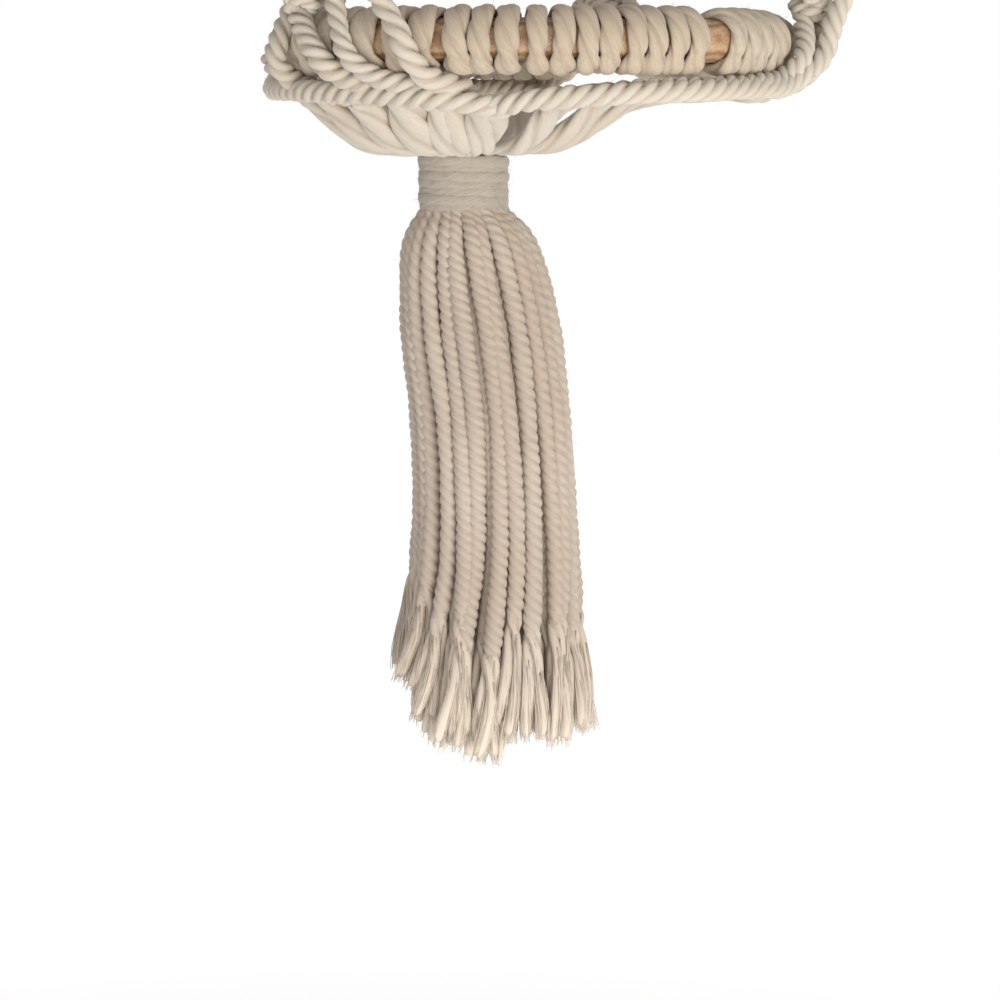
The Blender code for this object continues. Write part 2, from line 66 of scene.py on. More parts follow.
# The cord, the length in which its plies turn once, and how deep the grooves between them are.
CORD = 3.2 * MM
LAY = 5.6 * MM
ARM_LAY = 7.6 * MM
NET_LAY = 6.6 * MM
GROOVE = 0.40

# The winding's outer radius, and how far a strand's middle keeps from the ring's.
WINDING_OUT = 5.65 * MM
SLACK = 0.4 * MM
RING_CLEARANCE = WINDING_OUT + CORD / 2 + SLACK
BARE_CLEARANCE = RING_TUBE + CORD / 2 + SLACK

# The flat cord of a winding, and how far past its end turns a wound stretch reaches, in degrees.
WINDING_CORD = 1.16 * MM
WINDING_LAY = 17.0 * MM
WINDING_REACH = 2.6

# The two bindings, which are close turns of cord.
TOP_WRAP_TOP = 46.0 * MM
TOP_WRAP_BOTTOM = 75.0 * MM
TOP_WRAP_RADIUS = 8.0 * MM
TOP_WRAP_TURNS = 9
GATHER_TURNS = 6.8

# The knotted stretches: from, to, and how many square knots.
SINNET = (160.0 * MM, 222.0 * MM, 8)
RIM = (446.0 * MM, 472.0 * MM, 4)
MIDDLE = (520.0 * MM, 540.0 * MM, 3)
BASE_KNOT_LENGTH = 20.0 * MM

# How far the net stands from the vertical axis at each depth.
NET_PROFILE = (
    # depth, radius
    (75.0, 3.75),
    (160.0, 12.0),
    (222.0, 17.5),
    (446.0, 36.5),
    (472.0, 39.0),
    (520.0, 45.0),
    (540.0, 47.5),
    (590.0, 49.0),
)

ARMS = (
    # name, azimuth at the top, azimuth at the ring, radius of the foot, depth of the foot
    ("right", -15.0, -8.0, 48.6, 611.0),
    ("back", 75.0, 72.0, 48.0, 609.0),
    ("left", 160.0, 150.0, 44.5, 610.0),
    ("front", 248.0, 217.0, 47.5, 610.2),
)

# The strands under each arm: how far above the knot's foot each leaves it, how far to its side and
# how far behind it, how far it stands out beside the ring, its azimuth beside the ring and where it
# turns in under the ring, its radius and the length in which its plies turn once.
CRADLE = (
    # arm, leaves, aside, behind, outward, beside, under, radius, lay
    (0, 11.0, 0.0, 0.0, 6.0, -13.0, -100.5, 1.9, 8.4),
    (0, 0.0, -0.6, 1.4, 0.4, -17.0, -74.0, 1.85, 8.0),
    (0, 0.0, 0.8, -2.0, 3.6, -9.0, -50.0, 1.85, 8.0),
    (0, 0.0, 5.1, 0.0, 0.0, 2.0, -22.0, 1.8, 7.0),
    (1, 0.0, -5.1, 0.0, 0.0, 60.0, 5.0, 1.8, 7.0),
    (1, 0.0, -1.7, 0.0, 0.0, 68.0, 36.0, 1.8, 7.0),
    (1, 0.0, 1.7, 0.0, 0.0, 75.0, 110.0, 1.95, 7.0),
    (1, 0.0, 5.1, 0.0, 0.0, 83.0, 136.0, 1.95, 7.0),
    (2, 0.0, -5.1, 0.0, 0.0, 140.0, 78.0, 1.95, 7.0),
    (2, 0.0, -1.7, 0.0, 0.0, 148.0, 190.0, 1.9, 7.0),
    (2, 0.0, 1.7, 0.0, 0.0, 157.0, 222.0, 1.9, 7.2),
    (2, 0.0, 5.1, 0.0, 2.6, 166.0, 261.5, 1.9, 8.8),
    (3, 0.0, -8.8, 3.6, 0.0, 206.5, 206.0, 1.95, 7.3),
    (3, 0.0, -4.1, 1.0, 0.2, 220.0, 236.0, 2.05, 7.3),
    (3, 0.0, 6.4, 1.6, 0.0, 228.4, 249.0, 1.75, 7.6),
    (3, 12.0, 3.0, 0.0, 0.4, 243.5, 253.0, 2.0, 9.0),
)

# The turns of the cord round each wound stretch of the ring: where each faces outwards, in degrees,
# and how wide it lies, in millimetres.
WINDINGS = {
    "ring_wrap_front": (
        (239.8, 4.4), (245.6, 5.0), (253.4, 4.8), (258.7, 4.1), (263.8, 4.2), (270.5, 3.7), (275.5, 4.1),
        (280.5, 3.9), (285.6, 4.2), (290.7, 3.9), (295.7, 4.1), (300.7, 4.0), (305.6, 4.1),
    ),
    "ring_wrap_right": ((317.5, 3.9), (322.7, 4.6), (328.4, 4.6), (334.0, 4.4), (339.2, 4.2)),
    "ring_wrap_back_right": tuple((355.4 + 5.15 * turn, 4.2) for turn in range(13)),
    "ring_wrap_back": tuple((81.1 + 5.3 * turn, 4.3) for turn in range(10)),
    "ring_wrap_left": (*((194.6 + 5.15 * turn, 4.2) for turn in range(7)), (231.5, 6.2)),
}

# Stray fibres for each metre of cord.
STRAY = {"winding": 4500, "winding_behind": 2000, "cradle": 1400, "gather": 4200, "tassel": 250}

# The tassel's middle line and half width at each depth.
TASSEL_PROFILE = (
    # depth, middle in x, half width
    (643.0, -12.2, 5.6),
    (646.4, -12.1, 7.7),
    (648.0, -11.8, 9.4),
    (651.0, -11.3, 11.6),
    (656.0, -10.8, 13.2),
    (666.0, -9.4, 14.5),
    (680.0, -7.5, 14.5),
    (702.0, -6.3, 15.1),
    (715.0, -6.7, 16.0),
    (724.0, -7.6, 17.2),
    (730.0, -8.2, 17.8),
    (745.0, -8.2, 18.2),
)

# How low the tassel's tips hang at each place across it.
TIPS = (
    # x, depth
    (-27.0, 729.5),
    (-23.2, 732.0),
    (-17.9, 738.5),
    (-13.6, 740.4),
    (-9.0, 743.6),
    (-5.0, 743.2),
    (-2.0, 740.2),
    (3.0, 741.0),
    (10.0, 741.5),
)

# Between these depths the tassel's colour grows towards its tips'.
BRUSH_DEPTHS = (717.0 * MM, 741.0 * MM)

# How deep the strands under the ring hang at each distance from the gathering's axis.
BOWL = (
    # distance, depth
    (12.0, 635.0),
    (16.4, 634.8),
    (20.0, 633.7),
    (23.4, 631.5),
    (26.0, 629.6),
    (29.5, 627.3),
    (36.0, 626.2),
    (44.0, 625.8),
    (60.0, 625.8),
)


def at_depth(table, depth, column=1):
    """Reads a column of a table in millimetres at a depth in metres."""
    rows = np.array(table)
    return np.interp(np.asarray(depth) / MM, rows[:, 0], rows[:, column]) * MM


def place(radius, azimuth, depth, side=0.0):
    """A point at a radius and azimuth round the hanger's axis, shifted to its side."""
    angle = math.radians(azimuth)
    outward = np.array([math.cos(angle), math.sin(angle), 0.0])
    across = np.array([-math.sin(angle), math.cos(angle), 0.0])
    return outward * radius + across * side + np.array([0.0, 0.0, LOOP_TOP - depth])


def arm_azimuth(arm, depth):
    """Where an arm stands at a depth, in degrees."""
    share = (depth - TOP_WRAP_BOTTOM) / (RING_DEPTH - TOP_WRAP_BOTTOM)
    return ARMS[arm][1] + (ARMS[arm][2] - ARMS[arm][1]) * share


def arm_point(arm, depth, side=0.0, out=0.0):
    """A point on an arm, shifted to its side and outwards."""
    return place(at_depth(NET_PROFILE, depth) + out, arm_azimuth(arm, depth), depth, side)


def foot_point(arm, depth, side=0.0, behind=0.0):
    """A point on the knot at an arm's foot, shifted to its side and inwards."""
    return place(ARMS[arm][3] * MM - behind, ARMS[arm][2], depth, side)


def resampled(fine, step):
    """The same line with points a step apart."""
    run = np.r_[0.0, np.cumsum(np.linalg.norm(np.diff(fine, axis=0), axis=1))]
    count = max(3, int(round(run[-1] / step)) + 1)
    wanted = np.linspace(0.0, run[-1], count)
    return np.column_stack([np.interp(wanted, run, fine[:, axis]) for axis in range(3)])


def spline(points, step):
    """A smooth curve through the points, with points a step apart."""
    given = np.asarray(points, float)
    padded = np.vstack([2 * given[0] - given[1], given, 2 * given[-1] - given[-2]])
    t = np.linspace(0.0, 1.0, 12, endpoint=False)[:, None]
    spans = []
    for a, b, c, d in zip(padded, padded[1:], padded[2:], padded[3:]):
        bend = (2 * a - 5 * b + 4 * c - d) * t**2 + (3 * b - a - 3 * c + d) * t**3
        spans.append(0.5 * (2 * b + (c - a) * t + bend))
    return resampled(np.vstack(spans + [given[-1:]]), step)


def directions(path):
    """Unit vectors along a path."""
    along = np.gradient(path, axis=0)
    return along / np.linalg.norm(along, axis=1)[:, None]


def carried(along):
    """Normals along a path that turn as little as they can."""
    normals = np.empty_like(along)
    start = np.array([0.31, 0.94, 0.12])
    for row, direction in enumerate(along):
        start = start - direction * (start @ direction)
        start = start / np.linalg.norm(start)
        normals[row] = start
    return normals


class Weave:
    """The cords and fibres of one piece, gathered before they become its mesh."""

    def __init__(self):
        self.points, self.lay, self.crest, self.tint = [], [], [], []
        self.quads, self.triangles, self.skins = [], [], []
        self.count = 0

    def number(self, points, lay, crest, tint):
        """Files points and gives the number of the first one."""
        first = self.count
        self.points.append(points.reshape(-1, 3))
        self.lay.append(lay.reshape(-1, 3))
        self.crest.append(crest.ravel())
        self.tint.append(tint.ravel())
        self.count += len(self.points[-1])
        return first

    def tube(self, rings, lay, crest, tint):
        """A closed tube through rows of points, with a cap at each end."""
        rows, sides = rings.shape[:2]
        every = np.vstack([rings.reshape(-1, 3), rings[0].mean(0), rings[-1].mean(0)])
        all_lay = np.vstack([lay.reshape(-1, 3), lay[0].mean(0), lay[-1].mean(0)])
        # The caps get a low crest value, so the cotton darkens the cords' ends as painted shade.
        all_crest = np.r_[crest.ravel(), 0.4, 0.4]
        first = self.number(every, all_lay, all_crest, np.full(len(every), tint))
        number = first + np.arange(rows * sides).reshape(rows, sides)
        after = np.roll(number, -1, axis=1)
        quads = np.stack([number[:-1], after[:-1], after[1:], number[1:]], axis=-1)
        self.quads.append(quads.reshape(-1, 4))
        middle = np.full(sides, first + rows * sides)
        self.triangles.append(np.stack([middle, after[0], number[0]], axis=-1))
        self.triangles.append(np.stack([middle + 1, number[-1], after[-1]], axis=-1))

    def fibres(self, paths, thick, tint):
        """Fine three-sided fibres along many paths at once, each thinner towards its tip."""
        count, rows = paths.shape[:2]
        along = np.gradient(paths, axis=1)
        along /= np.linalg.norm(along, axis=2, keepdims=True) + 1e-12
        helper = draw.normal(size=(count, 1, 3))
        normal = np.cross(along, helper)
        normal /= np.linalg.norm(normal, axis=2, keepdims=True) + 1e-12
        beside = np.cross(along, normal)
        angle = TURN * np.arange(3) / 3
        taper = np.linspace(1.0, 0.45, rows)[None, :, None, None]
        reach = np.asarray(thick).reshape(-1, 1, 1, 1) * taper
        around = (
            normal[:, :, None] * np.cos(angle)[None, None, :, None]
            + beside[:, :, None] * np.sin(angle)[None, None, :, None]
        )
        rings = paths[:, :, None] + around * reach
        lay = rings / MM + draw.uniform(0.0, 400.0, (count, 1, 1, 3))
        # Fibres get a crest value of 0.9, so a little painted groove shade.
        crest = np.full((count, rows, 3), 0.9)
        first = self.number(rings, lay, crest, np.broadcast_to(tint[:, None, None], crest.shape))
        number = first + np.arange(count * rows * 3).reshape(count, rows, 3)
        after = np.roll(number, -1, axis=2)
        quads = np.stack([number[:, :-1], after[:, :-1], after[:, 1:], number[:, 1:]], axis=-1)
        self.quads.append(quads.reshape(-1, 4))
        self.triangles.append(number[:, 0, ::-1])
        self.triangles.append(number[:, -1])

    def piece(self, name, nodes, slot, surface):
        """Makes the mesh, which stands for its CAD nodes."""
        points = np.vstack(self.points)
        quads = np.vstack(self.quads)
        triangles = np.vstack(self.triangles)
        corners = np.concatenate([quads.ravel(), triangles.ravel()]).astype(np.int32)
        quad_starts = np.arange(len(quads)) * 4
        triangle_starts = quads.size + np.arange(len(triangles)) * 3
        starts = np.concatenate([quad_starts, triangle_starts]).astype(np.int32)
        mesh = bpy.data.meshes.new(name)
        mesh.vertices.add(len(points))
        mesh.vertices.foreach_set("co", points.astype(np.float32).ravel())
        mesh.loops.add(len(corners))
        mesh.loops.foreach_set("vertex_index", corners)
        mesh.polygons.add(len(starts))
        mesh.polygons.foreach_set("loop_start", starts)
        mesh.update(calc_edges=True)
        mesh.shade_smooth()
        lay = mesh.attributes.new("lay", "FLOAT_VECTOR", "POINT")
        lay.data.foreach_set("vector", np.vstack(self.lay).astype(np.float32).ravel())
        for label, values in (("crest", self.crest), ("tint", self.tint)):
            stored = mesh.attributes.new(label, "FLOAT", "POINT")
            stored.data.foreach_set("value", np.concatenate(values).astype(np.float32))
        mesh.materials.append(surface)
        made = bpy.data.objects.new(name, mesh)
        bpy.context.scene.collection.objects.link(made)
        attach(made, "root")
        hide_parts(*nodes)
        print("piece", name, len(quads) * 2 + len(triangles), "triangles")


def cord(
    weave, path, radius, lay=LAY, sides=12, groove=GROOVE, plies=3, normals=None, flat=(1.0, 1.0),
    tint=None
):
    """A cord of twisted plies along an evenly spaced path.

    Its radius, lay and groove may change along it. The flat pair scales it along its normals and
    beside them. It gives back the frame and the twist at its end."""
    along = directions(path)
    if normals is None:
        normals = carried(along)
    normals = normals - along * np.sum(normals * along, axis=1)[:, None]
    normals /= np.linalg.norm(normals, axis=1)[:, None]
    beside = np.cross(along, normals)
    steps = np.linalg.norm(np.diff(path, axis=0), axis=1)
    run = np.r_[0.0, np.cumsum(steps)]
    phase = draw.uniform(0.0, TURN, 4)
    tall = np.broadcast_to(np.asarray(flat[0], float), run.shape)
    wide = np.broadcast_to(np.asarray(flat[1], float), run.shape)
    twist = phase[0] - TURN * np.cumsum(np.r_[0.0, steps] / lay)
    angle = TURN * np.arange(sides) / sides
    share = angle * plies / TURN % 1.0
    valley = np.minimum(share, 1.0 - share) * 2.0
    depth = np.broadcast_to(np.asarray(groove, float), run.shape)
    profile = 1.0 - depth[:, None] * valley[None] ** 2.1
    uneven = 1.0 + 0.03 * np.sin(TURN * run / (9.0 * MM) + phase[1])
    uneven += 0.03 * np.sin(TURN * run / (23.0 * MM) + phase[2])
    thick = np.broadcast_to(np.asarray(radius, float), run.shape) * uneven
    theta = angle[None] + twist[:, None]
    reach = thick[:, None] * profile
    rings = (
        path[:, None]
        + normals[:, None] * (reach * np.cos(theta) * tall[:, None])[..., None]
        + beside[:, None] * (reach * np.sin(theta) * wide[:, None])[..., None]
    )
    local = np.stack(
        [
            reach * np.cos(angle)[None],
            reach * np.sin(angle)[None],
            np.broadcast_to(run[:, None], reach.shape),
        ],
        axis=-1,
    )
    local = local / MM + draw.uniform(0.0, 400.0, 3)
    # How near a ply's crest each point lies; the cotton darkens the grooves by it, as painted shade.
    crest = 1.0 - valley[None] * np.clip(depth / 0.3, 0.25, 1.0)[:, None]
    if tint is None:
        tint = draw.uniform()
    weave.tube(rings, local, crest, tint)
    weave.skins.append((rings, path, run[-1]))
    return normals[-1], beside[-1], twist[-1]


def fuzz(weave, per_metre, longest=1.5, thick=0.028):
    """Loose fibres that stand off the cords of a piece."""
    starts, outs, runs = [], [], []
    for rings, path, length in weave.skins:
        count = max(1, int(length * per_metre))
        row = draw.integers(1, len(path) - 1, count)
        side = draw.integers(0, rings.shape[1], count)
        skin = rings[row, side]
        out = skin - path[row]
        starts.append(skin - out * 0.12)
        outs.append(out / np.linalg.norm(out, axis=1)[:, None])
        runs.append(directions(path)[row])
    start, out, run = (np.vstack(kept) for kept in (starts, outs, runs))
    count = len(start)
    lean = draw.choice([-1.0, 1.0], (count, 1)) * draw.uniform(0.3, 1.0, (count, 1))
    first = out * draw.uniform(0.15, 0.8, (count, 1)) + run * lean
    first += draw.normal(size=(count, 3)) * 0.25
    bend = draw.normal(size=(count, 3)) * 0.5 - out * 0.2
    reach = (draw.uniform(0.35, 1.0, (count, 1)) ** 1.6) * longest * MM
    steps = (0.0, 0.5, 1.0)
    paths = np.stack([start + reach * (first * t + bend * t * t) for t in steps], axis=1)
    weave.fibres(paths, np.full(count, thick * MM), draw.uniform(size=count))


def knot(weave, top, bottom, count):
    """A sinnet of square knots: two cords that cross before and behind the two they enclose."""
    length = np.linalg.norm(top - bottom)
    up = (top - bottom) / length
    outward = np.array([top[0] + bottom[0], top[1] + bottom[1], 0.0])
    outward -= up * (outward @ up)
    outward /= np.linalg.norm(outward)
    across = np.cross(up, outward)
    halves = count * 2
    t = np.linspace(0.0, halves, halves * 14 + 1)
    swing = np.cos(math.pi * t)
    front = np.sin(math.pi * t) ** 2
    down = (t / halves) * (length - CORD * 0.9) + CORD * 0.45
    tucked = 0.35 + 0.65 * np.sqrt(np.clip(np.minimum(t, halves - t) / 0.45, 0.0, 1.0))
    for face, wide, bulge, tuck in ((1.0, 4.1, 2.75, 0.9), (-1.0, 4.6, 2.75, 1.5)):
        x = face * swing * wide * tucked * MM
        y = face * (front * bulge - (1.0 - front) * tuck) * MM
        path = top[None] - up * down[:, None] + across * x[:, None] + outward * y[:, None]
        cord(weave, spline(path[::3], 1.0 * MM), CORD * 0.5, sides=12, lay=LAY)
    for side in (-1.0, 1.0):
        core = [top + across * side * 1.2 * MM - up * share * length for share in (0.05, 0.5, 0.9)]
        cord(weave, spline(core, 1.5 * MM), 1.25 * MM, sides=6, groove=0.1)


def from_ring(azimuth):
    """How far a strand's middle stays from the ring's at an azimuth: nearer where it is bare."""
    away = 360.0
    for turns in WINDINGS.values():
        start, end = turns[0][0] - WINDING_REACH, turns[-1][0] + WINDING_REACH
        past_start = (azimuth - start) % 360.0
        past_end = (azimuth - end) % 360.0
        if past_start <= end - start:
            return RING_CLEARANCE
        away = min(away, 360.0 - past_start, past_end)
    share = min(1.0, max(0.0, away / 5.0 - 1.0))
    return RING_CLEARANCE + (BARE_CLEARANCE - RING_CLEARANCE) * share


def ring_side(azimuth, turn, more=0.0):
    """A point beside the wrapped ring: turn 0 is outside it and 90 is straight below."""
    clearance = from_ring(azimuth) + more
    angle = math.radians(turn)
    radius = RING_RADIUS + clearance * math.cos(angle)
    return place(radius, azimuth, RING_DEPTH + clearance * math.sin(angle))


def gather_point(azimuth, distance, depth):
    """A point round the axis of the gathering."""
    return place(distance, azimuth, depth) + np.array([GATHER_X, 0.0, 0.0])


def gather_heading(point):
    """How far a point is from the axis of the gathering, and its azimuth round it."""
    across, back = point[0] - GATHER_X, point[1]
    return math.hypot(across, back), math.degrees(math.atan2(back, across))


def cradle_route(arm, leaves, aside, behind, outward, beside, under, arrival):
    """A strand from its place in the knot of its arm, past the ring, under it and inwards."""
    foot = ARMS[arm][4] * MM
    bulge = outward * MM
    route = [
        foot_point(arm, foot - 7.0 * MM, aside * 0.5 * MM, behind * 0.4 * MM),
        foot_point(arm, foot + 0.5 * MM, aside * MM, behind * MM),
    ]
    if leaves > 0.0:
        azimuth = ARMS[arm][2] + (beside - ARMS[arm][2]) * 0.6
        route = [
            foot_point(arm, foot - leaves * MM, aside * MM),
            place(ARMS[arm][3] * MM + bulge, azimuth, foot - 5.0 * MM),
            ring_side(beside - 1.0, -15.0, bulge * 0.75),
        ]
    sweep = under - beside
    early = 0.12 if abs(sweep) > 40.0 else 0.35 if abs(sweep) > 20.0 else 0.45
    route.append(ring_side(beside + sweep * early * 0.3, 14.0, bulge * 0.48))
    route.append(ring_side(beside + sweep * early, 50.0, bulge * 0.24))
    steps = max(1, round(abs(sweep) / 12.0))
    sag = min(1.0, abs(sweep) / 80.0) ** 4 * 3.1 * MM
    for step in range(1, steps):
        part = step / steps
        azimuth = beside + sweep * (early + (1.0 - early) * part)
        route.append(ring_side(azimuth, 50.0 + 29.0 * part**0.6, sag * (0.35 + 0.65 * part**4)))
    route.append(ring_side(under, 92.0, sag))
    start = route[-1]
    reach, heading = gather_heading(start)
    turn = (arrival - heading + 180.0) % 360.0 - 180.0
    arrive = GATHER_TOP - 2.0 * MM
    drop = arrive - (LOOP_TOP - start[2])
    full = arrive - at_depth(BOWL, reach)
    for left in (0.84, 0.68, 0.52, 0.37, 0.23, 0.10):
        distance = 8.5 * MM + (reach - 8.5 * MM) * left
        depth = arrive - drop * (arrive - at_depth(BOWL, distance)) / full
        route.append(gather_point(heading + turn * (1.0 - left), distance, depth))
    route.append(gather_point(arrival, 6.8 * MM, arrive + 0.6 * MM))
    route.append(gather_point(arrival, 4.6 * MM, arrive + 3.0 * MM))
    route.append(gather_point(arrival, 3.6 * MM, arrive + 6.0 * MM))
    return route


def round_ring(path):
    """Normals that point away from the middle of the ring's tube, and down once under it."""
    across = np.hypot(path[:, 0], path[:, 1])
    outward = np.column_stack([path[:, 0] / across, path[:, 1] / across, np.zeros(len(path))])
    angle = np.arctan2(RING_Z - path[:, 2], across - RING_RADIUS)
    angle = np.clip(angle, math.radians(-50.0), math.radians(90.0))
    down = np.array([0.0, 0.0, -1.0])
    return outward * np.cos(angle)[:, None] + down * np.sin(angle)[:, None]


def cradle(weave):
    """The knots at the arms' feet and the strands that run from them under the ring."""
    for arm, row in enumerate(ARMS):
        foot = row[4] * MM
        knot(weave, foot_point(arm, foot - BASE_KNOT_LENGTH), foot_point(arm, foot + 3.0 * MM), 3)
    heading = {row: gather_heading(ring_side(row[6], 90.0))[1] % 360.0 for row in CRADLE}
    order = sorted(CRADLE, key=heading.get)
    spacing = 360.0 / len(order)
    shift = sum(heading[row] - spacing * rank for rank, row in enumerate(order)) / len(order)
    for rank, row in enumerate(order):
        even = spacing * rank + shift
        route = cradle_route(*row[:7], heading[row] + (even - heading[row]) * 0.22)
        path = spline(route, 0.5 * MM)
        inward = np.hypot(path[:, 0], path[:, 1])
        past = np.maximum.accumulate(np.clip((RING_RADIUS - inward) / (7.0 * MM), 0.0, 1.0))
        past[np.arange(len(path)) < len(path) // 3] = 0.0
        from_end = np.linspace(1.0, 0.0, len(path))
        spread = past * np.interp(from_end, (0.08, 0.26), (0.0, 1.0))
        radius = row[7] * MM * np.interp(from_end, (0.0, 0.12, 0.22), (0.72, 0.85, 1.0))
        cord(
            weave, path, radius, lay=row[8] * MM * (1.0 + 3.2 * past), sides=18,
            groove=0.40 - 0.12 * past, normals=round_ring(path),
            flat=(1.0 - 0.14 * spread, 1.0 + 0.72 * spread),
        )


def wooden_ring(surface):
    """The turned ring, finer than its solid and the same size."""
    weave = Weave()
    rows, sides = 192, 24
    around = np.linspace(0.0, TURN, rows, endpoint=False)
    angle = TURN * np.arange(sides) / sides
    radius = RING_RADIUS + RING_TUBE * np.cos(angle)[None]
    rings = np.stack(
        [
            radius * np.cos(around)[:, None],
            radius * np.sin(around)[:, None],
            np.broadcast_to(RING_Z - RING_TUBE * np.sin(angle)[None], (rows, sides)),
        ],
        axis=-1,
    )
    first = weave.number(
        rings, rings / MM, np.ones((rows, sides)), np.zeros((rows, sides))
    )
    number = first + np.arange(rows * sides).reshape(rows, sides)
    after = np.roll(number, -1, axis=1)
    onward = np.roll(number, -1, axis=0)
    onward_after = np.roll(after, -1, axis=0)
    weave.quads.append(
        np.stack([number, after, onward_after, onward], axis=-1).reshape(-1, 4)
    )
    weave.triangles.append(np.empty((0, 3), int))
    weave.piece("turned_ring", ["base_ring"], "ring_wood", surface)


def winding(weave, turns, step=0.5 * MM):
    """Turns of soft cord round the ring, each straight in front and drawn over to the next behind.

    Each turn is pinched and then swells where it bends under the ring."""
    numbers = np.arange(len(turns))
    places = np.array([turn[0] for turn in turns])
    widths = np.array([turn[1] for turn in turns]) * MM
    rows = int(len(turns) * TURN * 4.8 * MM / step)
    t = np.linspace(-0.45, len(turns) - 1 + 0.45, rows)
    whole = np.floor(t + 0.25)
    part = np.clip((t - whole - 0.30) / 0.40, 0.0, 1.0)
    eased = whole + part * part * (3.0 - 2.0 * part)
    azimuth = np.interp(eased, numbers, places)
    azimuth += np.minimum(eased, 0.0) * 5.0 + np.maximum(eased - numbers[-1], 0.0) * 5.0
    azimuth += 0.35 * np.sin(TURN * (t * 0.61 + turns[0][0]))
    radians = np.radians(azimuth)
    outward = np.stack([np.cos(radians), np.sin(radians), np.zeros(rows)], axis=1)
    down = np.array([0.0, 0.0, -1.0])
    tube = TURN * t
    low = np.degrees((tube + math.pi) % TURN - math.pi)
    swell = 0.28 * np.exp(-(((low - 60.0) / 16.0) ** 2)) - 0.18 * np.exp(-(((low - 31.0) / 11.0) ** 2))
    normals = outward * np.cos(tube)[:, None] + down * np.sin(tube)[:, None]
    path = outward * RING_RADIUS + np.array([0.0, 0.0, RING_Z])
    path = path + normals * (RING_TUBE + (1.02 + swell * 0.8) * MM)[:, None]
    radius = WINDING_CORD * (1.0 + swell)
    wide = np.interp(eased, numbers, widths) / 2 / WINDING_CORD * 0.95
    cord(
        weave, path, radius, lay=WINDING_LAY, sides=20, groove=0.26, normals=normals,
        flat=(1.0, wide * (1.0 - 0.3 * np.maximum(swell, 0.0))),
    )


def coil(weave, centre, radius, top, bottom, turns, thick, flat, lay, sides=14):
    """Close turns of cord round a bundle, from a depth to another."""
    rows = int(turns * TURN * radius / (0.6 * MM))
    t = np.linspace(0.0, 1.0, rows)
    angle = TURN * turns * t + 0.42 * math.pi
    outward = np.stack([np.cos(angle), np.sin(angle), np.zeros(rows)], axis=1)
    half = thick * flat[1]
    fall = np.clip((t * turns - 0.4) / (turns - 0.8), 0.0, 1.0)
    depth = top + half + (bottom - top - 2 * half) * fall
    depth += 0.16 * MM * np.sin(TURN * t * turns * 0.57) * np.sin(math.pi * t)
    wave = 1.0 + 0.018 * np.sin(TURN * t * turns * 0.43)
    path = outward * radius * wave[:, None]
    path[:, 0] += centre
    path[:, 2] = LOOP_TOP - depth
    cord(weave, path, thick, lay=lay, sides=sides, groove=0.14, normals=outward, flat=flat)


def tassel_strand(cords, tufts, azimuth, share, thick, sides, tip_lift, hairs):
    """A strand of the tassel, whose plies open into a brush of fibres at its end."""
    top = GATHER_BOTTOM - 4.0 * MM
    middle = at_depth(TASSEL_PROFILE, 735.0 * MM, 1)
    wide = at_depth(TASSEL_PROFILE, 735.0 * MM, 2) - thick
    x_tip = middle + wide * share * math.cos(azimuth)
    rows = np.array(TIPS)
    tip = np.interp(x_tip / MM, rows[:, 0], rows[:, 1]) * MM - tip_lift
    opening = tip - draw.uniform(15.0, 20.0) * MM
    places = np.array([647.0, 650.0, 654.0, 660.0, 669.0, 682.0, 697.0, 709.0]) * MM
    depths = np.r_[top, places, opening]
    drift = draw.normal() * 0.045
    thick = thick * draw.uniform(0.94, 1.06)
    lay = LAY * draw.uniform(0.9, 1.14)
    sway = draw.uniform(0.0, TURN, 2)
    points = []
    for depth in depths:
        fall = (depth - top) / (tip - top)
        half = at_depth(TASSEL_PROFILE, depth, 2)
        slim = thick * float(np.interp(fall, (0.0, 0.06, 0.2), (0.72, 0.85, 1.0)))
        reach = max(0.0, half - slim) * share
        angle = azimuth + drift * fall + 0.035 * math.sin(6.0 * fall + sway[0]) * min(1.0, fall * 4.0)
        reach += 0.35 * MM * math.sin(8.0 * fall + sway[1]) * min(1.0, fall * 5.0)
        centre = at_depth(TASSEL_PROFILE, depth, 1)
        points.append((centre + reach * math.cos(angle), reach * math.sin(angle), LOOP_TOP - depth))
    path = spline(points, 0.5 * MM if sides > 9 else 0.8 * MM)
    fall = np.linspace(0.0, 1.0, len(path))
    radius = thick * np.interp(fall, (0.0, 0.06, 0.22, 0.93, 1.0), (0.72, 0.86, 1.0, 1.03, 0.62))
    tint = draw.uniform()
    frame_at_end = cord(cords, path, radius, lay=lay, sides=sides, groove=0.22, tint=tint)
    heading = path[-1] - path[-8]
    brush(tufts, path, heading / np.linalg.norm(heading), frame_at_end, thick, tip, hairs, tint, azimuth)


# How thick a ply of a strand is along its open end, as a share of the strand's radius.
# How thick an open ply is along its brush, as shares of its length and of its strand's radius.
PLY_SHAPE = ((0.0, 0.25, 0.7, 0.96, 1.0), (0.46, 0.50, 0.68, 0.60, 0.34))


